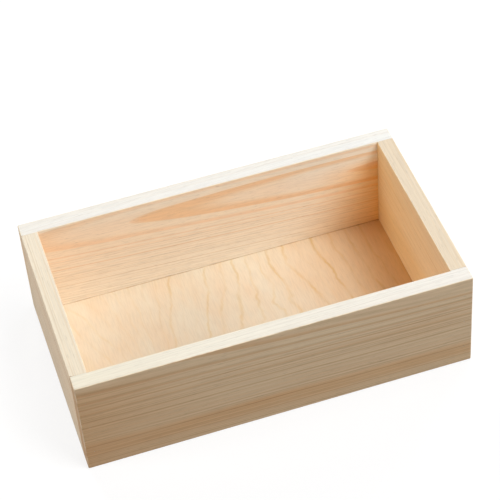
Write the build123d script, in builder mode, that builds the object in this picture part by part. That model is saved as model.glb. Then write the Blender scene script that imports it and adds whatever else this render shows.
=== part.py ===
import os

from build123d import *

# Outside of the box, in millimetres: length along X, width along Y, height along Z
box_length = 280.0
box_width = 165.0
box_height = 82.0

# Planed pine boards of the four walls, butted and glued, with hand-eased edges
board_thickness = 12.0
arris_radius = 0.8
glue_line = 0.1

# Outer corners of the end boards, eased before gluing: along the joint and along the outer face
joint_ease_length = 2.4
joint_ease_depth = 0.6

# Plywood floor, let into a rebate that is routed under the glued-up walls, on a bead of glue
floor_thickness = 3.0
floor_seat_share = 0.5
floor_fit = 0.25
floor_recess = 0.2
floor_bead = 0.3
cutter_radius = 6.35

# Headless wire pins, driven through the long boards into the end boards
pin_diameter = 0.7
pin_length = 30.0
pin_point = 1.5
pin_set_depth = 0.5
pin_fit = 0.02
pin_margin = 16.0
pins_per_corner = 3

# Flat wire brads with a T head, driven up through the floor into the walls
brad_length = 12.0
brad_width = 1.25
brad_thickness = 1.0
brad_head_length = 2.0
brad_head_height = 0.6
brad_point = 1.8
brad_fit = 0.03
brad_margin = 24.0
brads_per_long_side = 4
brads_per_short_side = 3

# Sizes that follow from those above
half_height = box_height / 2
cavity_length = box_length - 2 * board_thickness
cavity_width = box_width - 2 * board_thickness
long_board_y = (box_width - board_thickness) / 2
end_board_x = (box_length - board_thickness) / 2
end_board_length = cavity_width - 2 * glue_line
floor_seat = board_thickness * floor_seat_share
rebate_length = cavity_length + 2 * floor_seat
rebate_width = cavity_width + 2 * floor_seat
rebate_depth = floor_recess + floor_thickness + floor_bead
pin_radius = pin_diameter / 2
pin_spacing = (box_height - 2 * pin_margin) / (pins_per_corner - 1)
brad_row_x = (cavity_length + floor_seat) / 2
brad_row_y = (cavity_width + floor_seat) / 2
long_brad_spacing = (rebate_length - 2 * brad_margin) / (brads_per_long_side - 1)
short_brad_spacing = (rebate_width - 2 * brad_margin) / (brads_per_short_side - 1)

os.makedirs("parts", exist_ok=True)


def save(piece, name):
    piece.label = name
    export_step(piece, f"parts/{name}.step")


# Outside faces that the pins enter, each looking into the box
pin_faces = {
    "front": Plane(origin=(0, -box_width / 2, half_height), x_dir=(1, 0, 0), z_dir=(0, 1, 0)),
    "back": Plane(origin=(0, box_width / 2, half_height), x_dir=(1, 0, 0), z_dir=(0, -1, 0)),
}

# Rows of brads under the walls, each at the floor's underside: plane, spacing and count
brad_rows = {
    "front": (Plane(origin=(0, -brad_row_y, floor_recess)), long_brad_spacing, brads_per_long_side),
    "back": (Plane(origin=(0, brad_row_y, floor_recess)), long_brad_spacing, brads_per_long_side),
    "left": (
        Plane(origin=(-brad_row_x, 0, floor_recess), x_dir=(0, 1, 0)),
        short_brad_spacing,
        brads_per_short_side,
    ),
    "right": (
        Plane(origin=(brad_row_x, 0, floor_recess), x_dir=(0, 1, 0)),
        short_brad_spacing,
        brads_per_short_side,
    ),
}

# One headless pin, driven along +Z, with a needle point
with BuildPart() as pin:
    with BuildSketch(Plane.XZ):
        with BuildLine():
            Polyline(
                (0, 0),
                (pin_radius, 0),
                (pin_radius, pin_length - pin_point),
                (0, pin_length),
                close=True,
            )
        make_face()
    revolve(axis=Axis.Z)

# Stamped outline of one brad: T head at the bottom, chisel point at the top
with BuildSketch(Plane.XZ) as brad_outline:
    with BuildLine():
        Polyline(
            (0, 0),
            (brad_head_length / 2, 0),
            (brad_head_length / 2, brad_head_height),
            (brad_width / 2, brad_head_height),
            (brad_width / 2, brad_length - brad_point),
            (0, brad_length),
        )
        mirror(about=Plane.YZ)
    make_face()

with BuildPart() as brad:
    extrude(brad_outline.sketch, amount=brad_thickness / 2, both=True)

# The hole that a brad leaves in the wood
with BuildSketch(Plane.XZ) as brad_hole_outline:
    add(brad_outline.sketch_local)
    offset(amount=brad_fit, kind=Kind.INTERSECTION)

with BuildPart() as brad_hole:
    extrude(brad_hole_outline.sketch, amount=brad_thickness / 2 + brad_fit, both=True)

# The glued-up walls: eased edges, floor rebate, pin holes and brad holes
with BuildPart() as walls:
    with BuildSketch():
        Rectangle(box_length, box_width)
        Rectangle(cavity_length, cavity_width, mode=Mode.SUBTRACT)
    extrude(amount=box_height)
    inside_corners = walls.edges().filter_by(Axis.Z).sort_by_distance((0, 0, half_height))[:4]
    fillet(walls.edges() - inside_corners, arris_radius)
    with BuildSketch():
        RectangleRounded(rebate_length, rebate_width, cutter_radius)
    extrude(amount=rebate_depth, mode=Mode.SUBTRACT)
    for face in pin_faces.values():
        with BuildSketch(face):
            with GridLocations(2 * end_board_x, pin_spacing, 2, pins_per_corner):
                Circle(pin_radius + pin_fit)
        extrude(amount=pin_set_depth + pin_length + pin_fit, mode=Mode.SUBTRACT)
    for row, spacing, count in brad_rows.values():
        with Locations(row):
            with GridLocations(spacing, 0, count, 1):
                add(brad_hole.part, mode=Mode.SUBTRACT)

# Plan of a long board
with BuildSketch() as long_plan:
    Rectangle(box_length, board_thickness)

# Plan of an end board, with its outer face towards +X and its outer corners eased
with BuildSketch() as end_plan:
    with BuildLine():
        Polyline(
            (-board_thickness / 2, 0),
            (-board_thickness / 2, end_board_length / 2),
            (board_thickness / 2 - joint_ease_length, end_board_length / 2),
            (board_thickness / 2, end_board_length / 2 - joint_ease_depth),
            (board_thickness / 2, 0),
        )
        mirror(about=Plane.XZ)
    make_face()

# The four boards, cut apart at the glue lines: plan and where it stands
board_plans = {
    "front_board": (long_plan, Plane(origin=(0, -long_board_y, 0))),
    "back_board": (long_plan, Plane(origin=(0, long_board_y, 0))),
    "left_end_board": (end_plan, Plane(origin=(-end_board_x, 0, 0), x_dir=(-1, 0, 0))),
    "right_end_board": (end_plan, Plane(origin=(end_board_x, 0, 0))),
}
for name, (plan, place) in board_plans.items():
    with BuildPart() as board:
        add(walls.part)
        with BuildSketch(place):
            add(plan.sketch)
        extrude(amount=box_height, mode=Mode.INTERSECT)
    save(board.part, name)

# The floor panel, with corners rounded to the rebate
with BuildPart() as floor_panel:
    with BuildSketch(Plane.XY.offset(floor_recess)):
        RectangleRounded(
            rebate_length - 2 * floor_fit,
            rebate_width - 2 * floor_fit,
            cutter_radius - floor_fit,
        )
    extrude(amount=floor_thickness)
    for row, spacing, count in brad_rows.values():
        with Locations(row):
            with GridLocations(spacing, 0, count, 1):
                add(brad_hole.part, mode=Mode.SUBTRACT)
save(floor_panel.part, "floor_panel")

# The pins, a row at each corner
for side, face in pin_faces.items():
    for end, end_x in (("left", -end_board_x), ("right", end_board_x)):
        with BuildPart(face.offset(pin_set_depth)) as corner_pins:
            with Locations((end_x, 0)):
                with GridLocations(0, pin_spacing, 1, pins_per_corner):
                    add(pin.part)
        save(corner_pins.part, f"{side}_{end}_corner_pins")

# The brads, a row along each edge of the floor
for side, (row, spacing, count) in brad_rows.items():
    with BuildPart(row) as floor_brads:
        with GridLocations(spacing, 0, count, 1):
            add(brad.part)
    save(floor_brads.part, f"{side}_floor_brads")
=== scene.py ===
from math import radians

import bpy
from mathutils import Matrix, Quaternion, Vector


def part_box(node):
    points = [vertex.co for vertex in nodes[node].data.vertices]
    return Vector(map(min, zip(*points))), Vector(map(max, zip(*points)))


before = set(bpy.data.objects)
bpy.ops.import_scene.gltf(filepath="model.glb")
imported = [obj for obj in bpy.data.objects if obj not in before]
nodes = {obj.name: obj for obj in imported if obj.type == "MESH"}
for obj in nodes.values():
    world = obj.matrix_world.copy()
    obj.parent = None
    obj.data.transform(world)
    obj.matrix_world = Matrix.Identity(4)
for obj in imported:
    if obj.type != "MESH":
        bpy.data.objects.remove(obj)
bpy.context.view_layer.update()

mm = 0.001
half = 0.5
white = "#FFFFFF"
print("frame loaded:", len(nodes), "pieces")


def linear(code):
    # sRGB hex to the linear colour that a shader takes, by the standard curve
    parts = [int(code[i:i + 2], 16) / 255 for i in (1, 3, 5)]
    return [*(c / 12.92 if c <= 0.04045 else ((c + 0.055) / 1.055) ** 2.4 for c in parts), 1.0]


def addNode(tree, kind, inputs=None, **settings):
    # one shader node: inputs are values or sockets to link, settings are its own options
    node = tree.nodes.new("ShaderNode" + kind)
    for name, value in settings.items():
        setattr(node, name, value)
    for name, value in (inputs or {}).items():
        if isinstance(value, bpy.types.NodeSocket):
            tree.links.new(value, node.inputs[name])
        else:
            node.inputs[name].default_value = value
    return node


def setRamp(node, stops, interpolation="LINEAR"):
    # stops are places with grey levels, 0 to 1
    ramp = node.color_ramp
    ramp.interpolation = interpolation
    while len(ramp.elements) < len(stops):
        ramp.elements.new(1.0)
    for element, (place, level) in zip(ramp.elements, stops):
        element.position = place
        element.color = (level, level, level, 1.0)


def newMaterial(name):
    material = bpy.data.materials.new(name)
    material.use_nodes = True
    material.node_tree.nodes.clear()
    return material, material.node_tree


def dress(node, material):
    # the CAD piece keeps its mesh and takes the finish
    slots = nodes[node].data.materials
    slots.clear()
    slots.append(material)


def perMm(*sizes):
    # texture scale for features of these sizes in mm along each axis
    return [1 / (size * mm) for size in sizes]


# Pine boards, planed and left bare.
# Pale soft earlywood with warm latewood lines. The lines are cuts through the rings of one log,
# so the faces, edges and ends of a board agree. Places are in mm, turns in degrees.
# A ring is its radius, its depth of colour and its width of latewood. The tints of latewood and of
# narrow rings multiply the colour of the earlywood.
# A warm end is painted shade, with some change of wood tone: a warmer, darker colour towards
# the corners and the low inside of the box. It is where along the board it starts and is full, its share,
# and how far under the rim it sets in. One that is full before the board begins takes in its whole
# length, and one that sets in above the rim its whole height.
# The depth shade is a redder band of painted shade under the rim: how far under the rim with its share.
# The band is two radii with its depth of colour.
# A rim's sanded colours are those at its left or front end and at its other end; they are greyer than
# the faces, as painted shade that offsets the strong light on the tops.
pineBoards = {
    "back_board": {
        "heart": (0, 58.4, 64.8), "turn": (0, 2.27, 3.15), "wander": 0.6,
        "rings": [
            (6.4, 0.55, 4.5), (15.5, 0.72, 4.8), (21.4, 0.42, 3.6), (26.3, 0.35, 1.4), (29, 0.25, 1.2),
            (31.5, 0.1, 1.0), (35.8, 0.4, 1.4), (39.7, 0.15, 1.0), (43.3, 0.15, 1.0), (47, 0.1, 1.0),
            (51.2, 0.15, 1.0), (56.3, 0.1, 1.0), (61, 0.1, 1.0), (66, 0.15, 1.0), (71, 0.1, 1.0),
            (77, 0.1, 1.0),
        ],
        "narrow": "#DDD5C6", "narrowShare": 0.48, "rimShare": 0.1,
        # warm ends of painted shade, strongest towards the right corner on the face inside the box
        "warmShadeEnds": [(42, 130, 0.95, 17), (0, -140, 0.12, -20)], "warmShadeDepth": 6,
        # a band of painted shade under the rim, as depth under the rim with its share
        "depthShade": [
            (0, 0.2), (5, 0.4), (10, 0.9), (14, 1), (22, 1), (36, 0.75), (48, 0.45), (60, 0.2), (72, 0),
        ],
        "depthShadeEnd": 85, "depthShadeFull": 40, "outsideToneFrom": 5,
        # painted light: the pale early colour stands for the light on the face inside the box
        "early": "#FFF8EA", "late": "#F9DAB4", "tone": "#FFF4E3", "warmShade": "#FFC674",
        "sandedAndShaded": ("#D8D7D2", "#D9DAD8"),
    },
    "front_board": {
        "heart": (0, -108.5, 82.5), "turn": (0, 0.53, 1.06), "wander": 0.6,
        "rings": [
            (23.6, 0.5, 1.2), (27.5, 0.75, 1.4), (30.4, 0.65, 1.3), (34.2, 0.6, 1.4), (37.5, 0.5, 1.4),
            (40.9, 0.6, 1.3), (44.3, 0.1, 1.0), (47.2, 0.35, 1.2), (51.8, 0.45, 1.2), (55, 0.2, 1.2),
            (58.5, 0.35, 1.2), (61.6, 0.25, 1.0), (65, 0.1, 1.0), (69.3, 0.45, 1.6), (72, 0.3, 1.2),
            (74.8, 0.4, 1.2), (77.6, 0.5, 1.0), (80.5, 0.2, 1.0), (84, 0.3, 1.2), (88, 0.3, 1.2),
            (93, 0.3, 1.2), (98, 0.3, 1.2),
        ],
        "narrow": "#DDD5C6", "narrowShare": 0.8, "rimShare": 0.2,
        "warmShadeEnds": [(40, -140, 0.82, 4)], "band": (65.5, 77, 0.68),
        # painted shade: these colours are darker than the other boards' for the shade on the outer face
        "early": "#DEC6A5", "late": "#EAD4BC", "tone": "#D7B58F", "warmShade": "#D1A97D",
        "sandedAndShaded": ("#E2DFCE", "#E6E7E4"),
    },
    "left_end_board": {
        "heart": (-165, 0, 104), "turn": (0, 0.4, 90.5), "wander": 1.0,
        "rings": [
            (33.5, 0.3, 0.8), (36, 0.4, 1.2), (38.2, 0.25, 0.8), (40.6, 0.35, 0.9), (45, 0.75, 1.8),
            (52, 0.5, 2.0), (60, 0.4, 1.8), (69, 0.7, 2.2), (77, 0.45, 1.8), (86, 0.6, 2.0),
            (95, 0.4, 1.8), (104, 0.6, 2.0), (113, 0.45, 1.8),
        ],
        "narrow": "#E8D2A6", "narrowShare": 0.8, "rimShare": 0.35,
        "warmShadeEnds": [(0, -80, 0.2, -20)],
        "early": "#F8E4C9", "late": "#DCC09E", "tone": "#F3D6B2", "warmShade": "#EFCDA6",
        "sandedAndShaded": ("#D9CFBA", "#DAD1BE"),
    },
    "right_end_board": {
        "heart": (175, 0, 118), "turn": (0, 0.3, 89.4), "wander": 1.0,
        "rings": [
            (59, 0.2, 1.2), (64, 0.3, 1.4), (70, 0.2, 1.2), (75, 0.35, 1.6), (82, 0.25, 1.4),
            (87, 0.2, 1.2), (93, 0.3, 1.6), (99, 0.2, 1.2), (106, 0.35, 1.6), (113, 0.2, 1.2),
            (120, 0.3, 1.4), (128, 0.2, 1.2),
        ],
        "narrow": "#E8D2A6", "narrowShare": 0.15, "rimShare": 0.35,
        "warmShadeEnds": [(-80, 80, 0.5, -20), (-400, -100, 0.3, 48)],
        "early": "#EDCFA7", "late": "#F4DFC4", "tone": "#E9C08C", "warmShade": "#EDBF74",
        "sandedAndShaded": ("#D5C9B5", "#D2C7B5"),
    },
}
pineDetail = {
    "wanderLength": 150, "wanderAcross": 45, "wanderDetail": 2.0, "wanderSwing": 4,
    "lateFull": 0.65, "lateEnd": 0.95, "lateLeft": 0.35,  # shares of the latewood, the year and the depth
    "narrowSpacing": 1.2, "narrowDetail": 1.0, "narrowLow": 0.45, "narrowHigh": 0.68,
    "narrowFrom": 20, "narrowFade": 8, "faintShare": 0.45,
    "toneLength": 160, "toneAcross": 26, "toneFrom": 0.35, "toneTo": 0.7, "toneShare": 0.5,
    "warmFade": 9, "warmCurve": 2.0, "depthShadeTint": "#FFF4EA", "outsideTone": "#FCEFD9",
    "bandFade": 2.2, "bandLeft": 0.45, "bandTint": "#F4DBBA",
    "streakLength": 30, "streakAcross": 0.9, "streakDetail": 3.0,
    "streakFrom": 0.3, "streakTo": 0.58, "streakDepth": 0.1,
    "canalLength": 7, "canalAcross": 0.5, "canalDetail": 1.0,
    "canalFrom": 0.62, "canalTo": 0.74, "canalDepth": 0.16,
    "endFrom": 0.75, "endTo": 0.95, "endGrain": "#E6D2AE", "endShare": 0.6,
    "topFrom": 0.6, "topTo": 0.95, "sandedShare": 0.78,
    # the arris colour is rubbed wear with a painted highlight
    "arrisFrom": 0.99, "arrisTo": 0.85, "rubbedHighlight": "#FDECCF", "arrisShare": 0.9,
    "arrisPatch": 9, "arrisDetail": 4.0, "arrisLow": 0.3, "arrisHigh": 0.6,
    "roughEarly": 0.66, "roughLate": 0.52, "relief": 0.12, "reliefStrength": 0.5, "ior": 1.5,
}


def growRings(tree, log, board):
    # radius: distance from the heart of the log, with a slow wander along the trunk
    d = pineDetail
    slow = addNode(tree, "Mapping", {
        "Vector": log, "Scale": perMm(d["wanderLength"], d["wanderAcross"], d["wanderAcross"]),
    })
    wander = addNode(tree, "TexNoise", {
        "Vector": slow.outputs[0], "Scale": 1.0, "Detail": d["wanderDetail"],
    })
    swing = d["wanderSwing"] * board["wander"] * mm
    swayed = addNode(tree, "VectorMath", {
        0: wander.outputs["Color"], 1: (0, swing, swing), 2: log,
    }, operation="MULTIPLY_ADD")
    bent = addNode(tree, "VectorMath", {
        0: swayed.outputs[0], 1: (0, swing * half, swing * half),
    }, operation="SUBTRACT")
    across = addNode(tree, "VectorMath", {0: bent.outputs[0], 1: (0, 1, 1)}, operation="MULTIPLY")
    radius = addNode(tree, "VectorMath", {0: across.outputs[0]}, operation="LENGTH").outputs["Value"]

    # a clock that gains a year at each ring
    rings = board["rings"]
    count = len(rings)
    radii = [outer for outer, depth, width in rings]
    reached = addNode(tree, "Math", {0: radius, 1: 1 / (radii[-1] * mm)}, operation="MULTIPLY")
    clock = addNode(tree, "ValToRGB", {"Fac": reached.outputs[0]})
    setRamp(clock, [(0, 0)] + [(outer / radii[-1], (k + 1) / count) for k, outer in enumerate(radii)])
    years = addNode(tree, "Math", {0: clock.outputs["Color"], 1: count}, operation="MULTIPLY")
    season = addNode(tree, "Math", {0: years.outputs[0]}, operation="FRACT")

    # late: each year's latewood sets in softly, deepens and ends sharply
    depths = addNode(tree, "ValToRGB", {"Fac": clock.outputs["Color"]})
    setRamp(depths, [(k / count, depth) for k, (outer, depth, width) in enumerate(rings)], "CONSTANT")
    widths = [width / (outer - inner) for inner, (outer, depth, width) in zip([0] + radii, rings)]
    turns = addNode(tree, "ValToRGB", {"Fac": clock.outputs["Color"]})
    setRamp(turns, [(k / count, 1 - width) for k, width in enumerate(widths)], "CONSTANT")
    full = addNode(tree, "MapRange", {
        "Value": turns.outputs["Color"], "To Min": d["lateFull"], "To Max": 1.0,
    })
    growth = addNode(tree, "MapRange", {
        "Value": season.outputs[0], "From Min": turns.outputs["Color"], "From Max": full.outputs[0],
        "To Max": depths.outputs["Color"],
    }, interpolation_type="SMOOTHSTEP")
    winter = addNode(tree, "MapRange", {
        "Value": season.outputs[0], "From Min": d["lateEnd"], "To Min": 1.0, "To Max": d["lateLeft"],
    })
    late = addNode(tree, "Math", {0: growth.outputs[0], 1: winter.outputs[0]}, operation="MULTIPLY")
    return radius, late.outputs[0]


def toneWood(tree, spot, along, patches, low, high, board):
    # earlywood with a slow change of tone, and with its warm ends of painted shade
    d = pineDetail
    toneShare = addNode(tree, "Math", {0: patches, 1: d["toneShare"]}, operation="MULTIPLY")
    ground = addNode(tree, "MixRGB", {
        "Fac": toneShare.outputs[0], "Color1": linear(board["early"]), "Color2": linear(board["tone"]),
    })
    for start, full, most, under in board["warmShadeEnds"]:
        below = addNode(tree, "MapRange", {
            "Value": spot.outputs["Z"], "From Min": high.z - (under - d["warmFade"]) * mm,
            "From Max": high.z - (under + d["warmFade"]) * mm, "To Max": most,
        }, interpolation_type="SMOOTHSTEP")
        towards = addNode(tree, "MapRange", {
            "Value": along, "From Min": start * mm, "From Max": full * mm,
        })
        rise = addNode(tree, "Math", {0: towards.outputs[0], 1: d["warmCurve"]}, operation="POWER")
        warmShadeShare = addNode(tree, "Math", {0: rise.outputs[0], 1: below.outputs[0]}, operation="MULTIPLY")
        if "warmShadeDepth" in board:
            # the painted shade lies only on the face inside the box
            warmShadeShare = addNode(tree, "MapRange", {
                "Value": spot.outputs["Y"],
                "From Min": low.y, "From Max": low.y + board["warmShadeDepth"] * mm,
                "To Min": warmShadeShare.outputs[0], "To Max": 0.0,
            })
        ground = addNode(tree, "MixRGB", {
            "Fac": warmShadeShare.outputs[0], "Color1": ground.outputs[0], "Color2": linear(board["warmShade"]),
        })

    # a redder band of painted shade over part of the length, by depth under the rim
    if "depthShade" in board:
        under = addNode(tree, "MapRange", {
            "Value": spot.outputs["Z"], "From Min": high.z, "From Max": low.z,
        })
        depthShade = addNode(tree, "ValToRGB", {"Fac": under.outputs[0]})
        setRamp(depthShade, [(depth * mm / (high.z - low.z), share) for depth, share in board["depthShade"]])
        depthShadeShare = addNode(tree, "MapRange", {
            "Value": along, "From Min": board["depthShadeEnd"] * mm, "From Max": board["depthShadeFull"] * mm,
            "To Max": depthShade.outputs["Color"],
        }, interpolation_type="SMOOTHSTEP")
        ground = addNode(tree, "MixRGB", {
            "Fac": depthShadeShare.outputs[0], "Color1": ground.outputs[0], "Color2": linear(d["depthShadeTint"]),
        }, blend_type="MULTIPLY")

    # the pale colour is painted light on the face inside the box, so the face outside is toned down to
    # plain pine
    if "outsideToneFrom" in board:
        outward = addNode(tree, "MapRange", {
            "Value": spot.outputs["Y"],
            "From Min": low.y + board["outsideToneFrom"] * mm, "From Max": high.y,
        })
        ground = addNode(tree, "MixRGB", {
            "Fac": outward.outputs[0], "Color1": ground.outputs[0], "Color2": linear(d["outsideTone"]),
        }, blend_type="MULTIPLY")
    return ground.outputs[0]


def darkenBand(tree, ground, radius, patches, band):
    # a darker band of wood between two radii, with less of it left beyond the second
    d = pineDetail
    start, end, depth = band
    uneven = addNode(tree, "MapRange", {
        "Value": patches, "To Min": depth * d["faintShare"], "To Max": depth,
    })
    opens = addNode(tree, "MapRange", {
        "Value": radius, "From Min": (start - d["bandFade"]) * mm,
        "From Max": (start + d["bandFade"]) * mm, "To Max": uneven.outputs[0],
    }, interpolation_type="SMOOTHSTEP")
    fainter = addNode(tree, "Math", {0: opens.outputs[0], 1: d["bandLeft"]}, operation="MULTIPLY")
    closes = addNode(tree, "MapRange", {
        "Value": radius, "From Min": (end - d["bandFade"]) * mm, "From Max": (end + d["bandFade"]) * mm,
        "To Min": opens.outputs[0], "To Max": fainter.outputs[0],
    }, interpolation_type="SMOOTHSTEP")
    return addNode(tree, "MixRGB", {
        "Fac": closes.outputs[0], "Color1": ground, "Color2": linear(d["bandTint"]),
    }, blend_type="MULTIPLY").outputs[0]


def sandAndShadeRim(tree, colour, sawn, upward, reached, board):
    # sawn ends are darker, and the rim was sanded paler after the boards were joined; its colour is also
    # set greyer, as painted shade that offsets the strong light on the top
    d = pineDetail
    endShare = addNode(tree, "MapRange", {
        "Value": sawn, "From Min": d["endFrom"], "From Max": d["endTo"], "To Max": d["endShare"],
    })
    ended = addNode(tree, "MixRGB", {
        "Fac": endShare.outputs[0], "Color1": colour, "Color2": linear(d["endGrain"]),
    }, blend_type="MULTIPLY")
    topShare = addNode(tree, "Math", {0: upward, 1: d["sandedShare"]}, operation="MULTIPLY")
    nearEnd, farEnd = board["sandedAndShaded"]
    rim = addNode(tree, "MixRGB", {"Fac": reached, "Color1": linear(nearEnd), "Color2": linear(farEnd)})
    return addNode(tree, "MixRGB", {
        "Fac": topShare.outputs[0], "Color1": ended.outputs[0], "Color2": rim.outputs[0],
    }).outputs[0]


def addNarrowRings(tree, colour, radius, patches, upward, board):
    # narrow rings between the listed ones: thin lines that come and go along the board
    d = pineDetail
    narrow = addNode(tree, "TexNoise", {
        "W": radius, "Scale": 1 / (d["narrowSpacing"] * mm), "Detail": d["narrowDetail"],
    }, noise_dimensions="1D")
    thin = addNode(tree, "MapRange", {
        "Value": narrow.outputs["Fac"], "From Min": d["narrowLow"], "From Max": d["narrowHigh"],
    }, interpolation_type="SMOOTHSTEP")
    strong = addNode(tree, "MapRange", {
        "Value": upward, "To Min": board["narrowShare"], "To Max": board["rimShare"],
    })
    clear = addNode(tree, "MapRange", {
        "Value": radius, "From Min": d["narrowFrom"] * mm,
        "From Max": (d["narrowFrom"] + d["narrowFade"]) * mm, "To Max": strong.outputs[0],
    })
    comes = addNode(tree, "MapRange", {"Value": patches, "To Min": d["faintShare"]})
    lineShare = addNode(tree, "Math", {0: thin.outputs[0], 1: clear.outputs[0]}, operation="MULTIPLY")
    lines = addNode(tree, "Math", {0: lineShare.outputs[0], 1: comes.outputs[0]}, operation="MULTIPLY")
    return addNode(tree, "MixRGB", {
        "Fac": lines.outputs[0], "Color1": colour, "Color2": linear(board["narrow"]),
    }, blend_type="MULTIPLY").outputs[0]


def shadeFibres(tree, log):
    # fibres and resin canals, drawn coarser than life so that they show from a step away
    d = pineDetail
    fibre = addNode(tree, "Mapping", {
        "Vector": log, "Scale": perMm(d["streakLength"], d["streakAcross"], d["streakAcross"]),
    })
    streak = addNode(tree, "TexNoise", {
        "Vector": fibre.outputs[0], "Scale": 1.0, "Detail": d["streakDetail"],
    })
    streakShade = addNode(tree, "MapRange", {
        "Value": streak.outputs["Fac"], "From Min": d["streakFrom"], "From Max": d["streakTo"],
        "To Min": 1 - d["streakDepth"],
    })
    canal = addNode(tree, "Mapping", {
        "Vector": log, "Scale": perMm(d["canalLength"], d["canalAcross"], d["canalAcross"]),
    })
    dash = addNode(tree, "TexNoise", {
        "Vector": canal.outputs[0], "Scale": 1.0, "Detail": d["canalDetail"],
    })
    dashShade = addNode(tree, "MapRange", {
        "Value": dash.outputs["Fac"], "From Min": d["canalFrom"], "From Max": d["canalTo"],
        "To Min": 1.0, "To Max": 1 - d["canalDepth"],
    })
    return addNode(tree, "Math", {
        0: streakShade.outputs[0], 1: dashShade.outputs[0],
    }, operation="MULTIPLY").outputs[0]


def rubAndLightArrises(tree, colour, place):
    # arrises paler in patches: rubbed where the edges were broken with sandpaper, and a painted highlight
    # for the light that the rounded edges catch
    d = pineDetail
    flatness = addNode(tree, "VectorMath", {0: place.outputs["Normal"]}, operation="ABSOLUTE")
    sides = addNode(tree, "SeparateXYZ", {0: flatness.outputs[0]})
    upright = addNode(tree, "Math", {0: sides.outputs["X"], 1: sides.outputs["Y"]}, operation="MAXIMUM")
    square = addNode(tree, "Math", {0: upright.outputs[0], 1: sides.outputs["Z"]}, operation="MAXIMUM")
    patch = addNode(tree, "TexNoise", {
        "Vector": place.outputs["Object"],
        "Scale": 1 / (d["arrisPatch"] * mm), "Detail": d["arrisDetail"],
    })
    rubbed = addNode(tree, "MapRange", {
        "Value": patch.outputs["Fac"], "From Min": d["arrisLow"], "From Max": d["arrisHigh"],
        "To Max": d["arrisShare"],
    })
    arrisShare = addNode(tree, "MapRange", {
        "Value": square.outputs[0], "From Min": d["arrisFrom"], "From Max": d["arrisTo"],
        "To Max": rubbed.outputs[0],
    })
    return addNode(tree, "MixRGB", {
        "Fac": arrisShare.outputs[0], "Color1": colour, "Color2": linear(d["rubbedHighlight"]),
    }).outputs[0]


def makePine(name, board):
    d = pineDetail
    material, tree = newMaterial("planed_pine_" + name)
    place = addNode(tree, "TexCoord")
    log = addNode(tree, "Mapping", {
        "Vector": place.outputs["Object"],
        "Location": [v * mm for v in board["heart"]],
        "Rotation": [radians(a) for a in board["turn"]],
    }, vector_type="TEXTURE").outputs[0]

    # where on the board, and which way it faces there
    low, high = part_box(name)
    lengthwise = 0 if high.x - low.x > high.y - low.y else 1
    spot = addNode(tree, "SeparateXYZ", {0: place.outputs["Object"]})
    along = spot.outputs[lengthwise]
    reached = addNode(tree, "MapRange", {
        "Value": along, "From Min": low[lengthwise], "From Max": high[lengthwise],
    }).outputs[0]
    facing = addNode(tree, "SeparateXYZ", {0: place.outputs["Normal"]})
    sawn = addNode(tree, "Math", {0: facing.outputs[lengthwise]}, operation="ABSOLUTE").outputs[0]
    upward = addNode(tree, "MapRange", {
        "Value": facing.outputs["Z"], "From Min": d["topFrom"], "From Max": d["topTo"],
    }).outputs[0]

    # broad patches in which the tone changes and the lines come and go
    broad = addNode(tree, "Mapping", {
        "Vector": log, "Scale": perMm(d["toneLength"], d["toneAcross"], d["toneAcross"]),
    })
    cloud = addNode(tree, "TexNoise", {
        "Vector": broad.outputs[0], "Scale": 1.0, "Detail": d["wanderDetail"],
    })
    patches = addNode(tree, "MapRange", {
        "Value": cloud.outputs["Fac"], "From Min": d["toneFrom"], "From Max": d["toneTo"],
    }).outputs[0]

    radius, late = growRings(tree, log, board)
    ground = toneWood(tree, spot, along, patches, low, high, board)
    if "band" in board:
        ground = darkenBand(tree, ground, radius, patches, board["band"])
    ringed = addNode(tree, "MixRGB", {
        "Fac": late, "Color1": ground, "Color2": linear(board["late"]),
    }, blend_type="MULTIPLY")
    sandedAndShaded = sandAndShadeRim(tree, ringed.outputs[0], sawn, upward, reached, board)
    lined = addNarrowRings(tree, sandedAndShaded, radius, patches, upward, board)
    fine = shadeFibres(tree, log)
    fibred = addNode(tree, "MixRGB", {"Fac": 1.0, "Color1": lined, "Color2": fine}, blend_type="MULTIPLY")
    rough = addNode(tree, "MapRange", {
        "Value": late, "To Min": d["roughEarly"], "To Max": d["roughLate"],
    })
    height = addNode(tree, "Math", {0: late, 1: fine})
    bump = addNode(tree, "Bump", {
        "Height": height.outputs[0], "Strength": d["reliefStrength"], "Distance": d["relief"] * mm,
    })
    shader = addNode(tree, "BsdfPrincipled", {
        "Base Color": rubAndLightArrises(tree, fibred.outputs[0], place), "Roughness": rough.outputs[0],
        "Normal": bump.outputs[0], "IOR": d["ior"],
    })
    addNode(tree, "OutputMaterial", {"Surface": shader.outputs[0]})
    return material


for boardName, board in pineBoards.items():
    dress(boardName, makePine(boardName, board))
print("pine boards dressed")

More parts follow.
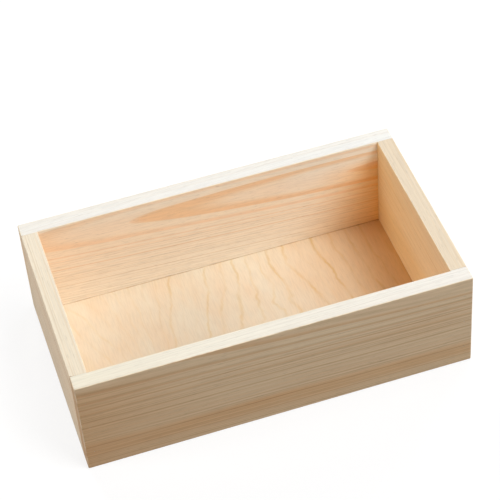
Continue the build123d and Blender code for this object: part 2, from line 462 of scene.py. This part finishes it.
# Birch plywood with a rotary-peeled face, sanded and left bare.
# Peeling cuts along the rings, so a few thin tan lines wander over a pale silky ground.
birchFloor = {
    # lines as mm from the left wall at the back, with depth of colour
    "lines": [
        (-14, 0.2), (-3, 0.3), (10, 0.35), (22, 0.15), (34, 0.25), (46, 0.2), (57, 0.3), (68, 0.2),
        (78, 0.3), (88, 0.75), (98, 0.1), (108, 0.1), (118, 0.6), (129, 0.5), (138, 0.75), (147.5, 0.7),
        (157, 0.5), (164, 0.8), (176, 0.9), (187, 0.15), (199.5, 1.0), (213, 0.6), (226, 0.6),
        (239, 0.5), (252, 0.4),
    ],
    # how far a line moves right for each mm towards the front, at mm from the left wall
    "slants": [
        (0, 0.5), (36, 0.42), (74, -0.2), (112, -0.26), (132, -0.14), (164, 0.05), (190, 0.2),
        (215, 0.12), (256, 0.08),
    ],
    "slantMost": 1.0, "lineWidth": 1.8,
    "waveSwing": 5.8, "waveLength": 20, "waveAcross": 34, "waveDetail": 4.0,
    "breakLength": 22, "breakAcross": 7, "breakDetail": 2.0,
    "breakFrom": 0.38, "breakTo": 0.62, "breakLeft": 0.3,
    # the warm colour is painted shade for the far right corner inside the box
    "pale": "#F5EAD4", "line": "#F4E8C6", "blush": "#F5E1C5", "warmShade": "#E8B270",
    # the joint line is glue with painted shadow for the gap under the back wall
    "warmFrom": 115, "warmTo": 260, "warmCurve": 2.0, "jointWidth": 0.6, "joint": "#DFC8AC",
    "mottleLength": 40, "mottleAcross": 16, "mottleDetail": 3.0, "mottleFrom": 0.35, "mottleTo": 0.7,
    "streakLength": 9, "streakAcross": 0.9, "streakDetail": 3.0,
    "streakFrom": 0.3, "streakTo": 0.58, "streakDepth": 0.07, "plySkin": 1.0, "core": "#D8B488",
    "roughness": 0.58, "relief": 0.05, "reliefStrength": 0.4, "ior": 1.5,
}


def peelLines(tree, place, fromLeft, across, fromBack, reach, d):
    # wandering ring lines: each slants its own way from the back to the front
    slow = addNode(tree, "Mapping", {
        "Vector": place, "Scale": perMm(d["waveAcross"], d["waveLength"], d["plySkin"]),
    })
    wave = addNode(tree, "TexNoise", {"Vector": slow.outputs[0], "Scale": 1.0, "Detail": d["waveDetail"]})
    most = d["slantMost"]
    slant = addNode(tree, "ValToRGB", {"Fac": fromLeft})
    setRamp(slant, [(x / reach, half + half * s / most) for x, s in d["slants"]])
    lean = addNode(tree, "MapRange", {"Value": slant.outputs["Color"], "To Min": -most, "To Max": most})
    moved = addNode(tree, "Math", {0: lean.outputs[0], 1: fromBack}, operation="MULTIPLY")
    straight = addNode(tree, "Math", {0: across, 1: moved.outputs[0]}, operation="SUBTRACT")
    ripple = addNode(tree, "MapRange", {
        "Value": wave.outputs["Fac"], "To Min": -d["waveSwing"], "To Max": d["waveSwing"],
    })
    rippled = addNode(tree, "Math", {0: straight.outputs[0], 1: ripple.outputs[0]})

    # the nearest of the listed lines, and how far it is
    lines = d["lines"]
    count = len(lines) - 1
    first, last = lines[0][0], lines[-1][0]
    share = addNode(tree, "MapRange", {"Value": rippled.outputs[0], "From Min": first, "From Max": last})
    clock = addNode(tree, "ValToRGB", {"Fac": share.outputs[0]})
    setRamp(clock, [((x - first) / (last - first), k / count) for k, (x, depth) in enumerate(lines)])
    order = addNode(tree, "Math", {0: clock.outputs["Color"], 1: count}, operation="MULTIPLY")
    nearest = addNode(tree, "Math", {0: order.outputs[0]}, operation="ROUND")
    aside = addNode(tree, "Math", {0: order.outputs[0], 1: nearest.outputs[0]}, operation="SUBTRACT")
    apart = addNode(tree, "Math", {0: aside.outputs[0]}, operation="ABSOLUTE")
    step = (last - first) / count
    core = addNode(tree, "MapRange", {
        "Value": apart.outputs[0], "From Max": d["lineWidth"] / step, "To Min": 1.0, "To Max": 0.0,
    }, interpolation_type="SMOOTHSTEP")
    which = addNode(tree, "Math", {0: nearest.outputs[0], 1: 1 / count}, operation="MULTIPLY")
    depths = addNode(tree, "ValToRGB", {"Fac": which.outputs[0]})
    setRamp(depths, [
        (max(k - half, 0) / count, depth) for k, (x, depth) in enumerate(lines)
    ], "CONSTANT")
    return addNode(tree, "Math", {
        0: core.outputs[0], 1: depths.outputs["Color"],
    }, operation="MULTIPLY").outputs[0]


def makeBirch(d):
    material, tree = newMaterial("sanded_birch_plywood")
    place = addNode(tree, "TexCoord").outputs["Object"]
    spot = addNode(tree, "SeparateXYZ", {0: place})
    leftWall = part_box("left_end_board")[1].x
    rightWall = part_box("right_end_board")[0].x
    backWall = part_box("back_board")[0].y
    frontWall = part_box("front_board")[1].y
    reach = (rightWall - leftWall) / mm
    fromLeft = addNode(tree, "MapRange", {
        "Value": spot.outputs["X"], "From Min": leftWall, "From Max": rightWall,
    }).outputs[0]
    across = addNode(tree, "Math", {0: fromLeft, 1: reach}, operation="MULTIPLY").outputs[0]
    fromBack = addNode(tree, "MapRange", {
        "Value": spot.outputs["Y"], "From Min": backWall, "From Max": frontWall,
        "To Max": (backWall - frontWall) / mm,
    }, clamp=False).outputs[0]

    # the ring lines break up here and there
    whole = peelLines(tree, place, fromLeft, across, fromBack, reach, d)
    gaps = addNode(tree, "Mapping", {
        "Vector": place, "Scale": perMm(d["breakAcross"], d["breakLength"], d["plySkin"]),
    })
    fade = addNode(tree, "TexNoise", {
        "Vector": gaps.outputs[0], "Scale": 1.0, "Detail": d["breakDetail"],
    })
    shown = addNode(tree, "MapRange", {
        "Value": fade.outputs["Fac"], "From Min": d["breakFrom"], "From Max": d["breakTo"],
        "To Min": d["breakLeft"],
    })
    ring = addNode(tree, "Math", {0: whole, 1: shown.outputs[0]}, operation="MULTIPLY")

    # silky patches, and a warmer, darker right end on the face inside the box, painted shade for its far
    # corner
    soft = addNode(tree, "Mapping", {
        "Vector": place, "Scale": perMm(d["mottleAcross"], d["mottleLength"], d["plySkin"]),
    })
    mottle = addNode(tree, "TexNoise", {
        "Vector": soft.outputs[0], "Scale": 1.0, "Detail": d["mottleDetail"],
    })
    blushShare = addNode(tree, "MapRange", {
        "Value": mottle.outputs["Fac"], "From Min": d["mottleFrom"], "From Max": d["mottleTo"],
    })
    blushed = addNode(tree, "MixRGB", {
        "Fac": blushShare.outputs[0], "Color1": linear(d["pale"]), "Color2": linear(d["blush"]),
    })
    warmShadeShare = addNode(tree, "MapRange", {
        "Value": across, "From Min": d["warmFrom"], "From Max": d["warmTo"],
    })
    rise = addNode(tree, "Math", {0: warmShadeShare.outputs[0], 1: d["warmCurve"]}, operation="POWER")
    low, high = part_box("floor_panel")
    lowSkin = addNode(tree, "Math", {
        0: spot.outputs["Z"], 1: low.z + d["plySkin"] * mm,
    }, operation="GREATER_THAN")
    inside = addNode(tree, "Math", {0: rise.outputs[0], 1: lowSkin.outputs[0]}, operation="MULTIPLY")
    ground = addNode(tree, "MixRGB", {
        "Fac": inside.outputs[0], "Color1": blushed.outputs[0], "Color2": linear(d["warmShade"]),
    })
    ringed = addNode(tree, "MixRGB", {
        "Fac": ring.outputs[0], "Color1": ground.outputs[0], "Color2": linear(d["line"]),
    }, blend_type="MULTIPLY")

    # fine fibres running front to back, drawn coarser than life so that they show
    fibre = addNode(tree, "Mapping", {
        "Vector": place, "Scale": perMm(d["streakAcross"], d["streakLength"], d["plySkin"]),
    })
    streak = addNode(tree, "TexNoise", {
        "Vector": fibre.outputs[0], "Scale": 1.0, "Detail": d["streakDetail"],
    })
    streakShade = addNode(tree, "MapRange", {
        "Value": streak.outputs["Fac"], "From Min": d["streakFrom"], "From Max": d["streakTo"],
        "To Min": 1 - d["streakDepth"],
    })
    fibred = addNode(tree, "MixRGB", {
        "Fac": 1.0, "Color1": ringed.outputs[0], "Color2": streakShade.outputs[0],
    }, blend_type="MULTIPLY")

    # cut edges show the darker core veneer between two pale skins
    topSkin = addNode(tree, "Math", {
        0: spot.outputs["Z"], 1: high.z - d["plySkin"] * mm,
    }, operation="LESS_THAN")
    inCore = addNode(tree, "Math", {0: lowSkin.outputs[0], 1: topSkin.outputs[0]}, operation="MULTIPLY")
    plied = addNode(tree, "MixRGB", {
        "Fac": inCore.outputs[0], "Color1": fibred.outputs[0], "Color2": linear(d["core"]),
    })

    # a thin broken line where the floor meets the back wall: glue, and painted shadow for the gap under
    # the wall
    close = addNode(tree, "MapRange", {
        "Value": fromBack, "From Max": d["jointWidth"], "To Min": 1.0, "To Max": 0.0,
    })
    seam = addNode(tree, "Math", {0: close.outputs[0], 1: shown.outputs[0]}, operation="MULTIPLY")
    joined = addNode(tree, "MixRGB", {
        "Fac": seam.outputs[0], "Color1": plied.outputs[0], "Color2": linear(d["joint"]),
    }, blend_type="MULTIPLY")
    bump = addNode(tree, "Bump", {
        "Height": streak.outputs["Fac"], "Strength": d["reliefStrength"], "Distance": d["relief"] * mm,
    })
    shader = addNode(tree, "BsdfPrincipled", {
        "Base Color": joined.outputs[0], "Normal": bump.outputs[0],
        "Roughness": d["roughness"], "IOR": d["ior"],
    })
    addNode(tree, "OutputMaterial", {"Surface": shader.outputs[0]})
    return material


dress("floor_panel", makeBirch(birchFloor))
print("birch floor dressed")

# Galvanised wire for the pins and brads: drawn, then dipped, so a dull cool grey with fine scratches
wire = {
    "light": "#B9BBBB", "dark": "#8E9192", "scratchLength": 4, "scratchAcross": 0.2, "scratchDetail": 3.0,
    "roughLow": 0.3, "roughHigh": 0.5,
}


def makeWire(d):
    material, tree = newMaterial("drawn_galvanised_wire")
    place = addNode(tree, "TexCoord")
    drawn = addNode(tree, "Mapping", {
        "Vector": place.outputs["Object"],
        "Scale": perMm(d["scratchAcross"], d["scratchLength"], d["scratchAcross"]),
    })
    scratch = addNode(tree, "TexNoise", {
        "Vector": drawn.outputs[0], "Scale": 1.0, "Detail": d["scratchDetail"],
    })
    tint = addNode(tree, "MixRGB", {
        "Fac": scratch.outputs["Fac"], "Color1": linear(d["light"]), "Color2": linear(d["dark"]),
    })
    rough = addNode(tree, "MapRange", {
        "Value": scratch.outputs["Fac"], "To Min": d["roughLow"], "To Max": d["roughHigh"],
    })
    shader = addNode(tree, "BsdfPrincipled", {
        "Base Color": tint.outputs[0], "Roughness": rough.outputs[0], "Metallic": 1.0,
    })
    addNode(tree, "OutputMaterial", {"Surface": shader.outputs[0]})
    return material


wireFinish = makeWire(wire)
for node in nodes:
    if node.endswith(("_pins", "_brads")):
        dress(node, wireFinish)
print("pins and brads dressed")

# Studio floor: white to the eye, with the box's shadow; it throws back less light than it seems to
paper = {"size": 8.0, "drop": 0.02, "bounce": "#9A9895", "seen": "#858585", "glow": 0.79}


def seenDirectly(tree):
    # 1 for rays from the eye, straight or by way of a mirror or glass
    path = addNode(tree, "LightPath")
    glossy = addNode(tree, "Math", {
        0: path.outputs["Is Camera Ray"], 1: path.outputs["Is Glossy Ray"],
    }, operation="MAXIMUM")
    return addNode(tree, "Math", {
        0: glossy.outputs[0], 1: path.outputs["Is Transmission Ray"],
    }, operation="MAXIMUM").outputs[0]


def makePaper(d):
    bpy.ops.mesh.primitive_plane_add(size=d["size"], location=(0, 0, -d["drop"] * mm))
    floor = bpy.context.object
    floor.name = "studio_floor"
    material, tree = newMaterial("studio_paper")
    dull = addNode(tree, "BsdfDiffuse", {"Color": linear(d["bounce"])})
    shaded = addNode(tree, "BsdfDiffuse", {"Color": linear(d["seen"])})
    glow = addNode(tree, "Emission", {"Color": linear(white), "Strength": d["glow"]})
    lit = addNode(tree, "AddShader", {0: shaded.outputs[0], 1: glow.outputs[0]})
    mix = addNode(tree, "MixShader", {"Fac": seenDirectly(tree), 1: dull.outputs[0], 2: lit.outputs[0]})
    addNode(tree, "OutputMaterial", {"Surface": mix.outputs[0]})
    floor.data.materials.append(material)


makePaper(paper)

# Soft lamps, each by where it stands seen from the box, in watts and metres
softboxes = {
    "key_softbox": {"toward": (0.46, -0.46, 0.76), "power": 58.0, "size": 1.7},
    "back_softbox": {"toward": (-0.06, 0.83, 0.53), "power": 50.0, "size": 1.1},
    "rim_softbox": {"toward": (0.60, 0.60, 0.53), "power": 18.0, "size": 1.1},
    "top_softbox": {"toward": (0.37, 0.0, 0.93), "power": 15.0, "size": 1.1},
    "side_softbox": {"toward": (-0.90, 0.05, 0.44), "power": 32.8, "size": 1.1},
    "front_softbox": {"toward": (0.05, -0.95, 0.31), "power": 11.0, "size": 1.1},
}
studio = {"centre": (0, 0, 0.04), "distance": 3.0}


def addSoftbox(name, lampData):
    lamp = bpy.data.lights.new(name, "AREA")
    lamp.energy = lampData["power"]
    lamp.size = lampData["size"]
    softbox = bpy.data.objects.new(name, lamp)
    toward = Vector(lampData["toward"]).normalized()
    softbox.location = Vector(studio["centre"]) + toward * studio["distance"]
    softbox.rotation_mode = "QUATERNION"
    softbox.rotation_quaternion = toward.to_track_quat("Z", "Y")
    bpy.context.scene.collection.objects.link(softbox)


for lampName, lampData in softboxes.items():
    addSoftbox(lampName, lampData)


def makeWorld():
    # white behind everything, without lighting the box
    world = bpy.data.worlds.new("studio_world")
    bpy.context.scene.world = world
    world.use_nodes = True
    tree = world.node_tree
    tree.nodes.clear()
    sky = addNode(tree, "Background", {"Color": linear(white), "Strength": seenDirectly(tree)})
    addNode(tree, "OutputWorld", {"Surface": sky.outputs[0]})


makeWorld()
print("studio lit")

# Camera: from above the front left, with the photograph's slight roll, in degrees and mm
view = {
    "azimuth": -14.43, "elevation": 44.91, "roll": -4.91,
    "aim": (17.1, 38.1, 41.0), "distance": 1381.2, "lens": 137.4, "sensor": 36.0,
}


def addCamera(d):
    lens = bpy.data.cameras.new("camera")
    lens.sensor_width = d["sensor"]
    lens.lens = d["lens"]
    camera = bpy.data.objects.new("camera", lens)
    back = Vector((0, -1, 0))
    back.rotate(Quaternion((1, 0, 0), radians(-d["elevation"])))
    back.rotate(Quaternion((0, 0, 1), radians(d["azimuth"])))
    camera.location = (Vector(d["aim"]) + back * d["distance"]) * mm
    camera.rotation_mode = "QUATERNION"
    level = (-back).to_track_quat("-Z", "Y")
    camera.rotation_quaternion = level @ Quaternion((0, 0, 1), radians(d["roll"]))
    bpy.context.scene.collection.objects.link(camera)
    bpy.context.scene.camera = camera


addCamera(view)
bpy.context.scene.view_settings.view_transform = "Standard"
print("camera set")
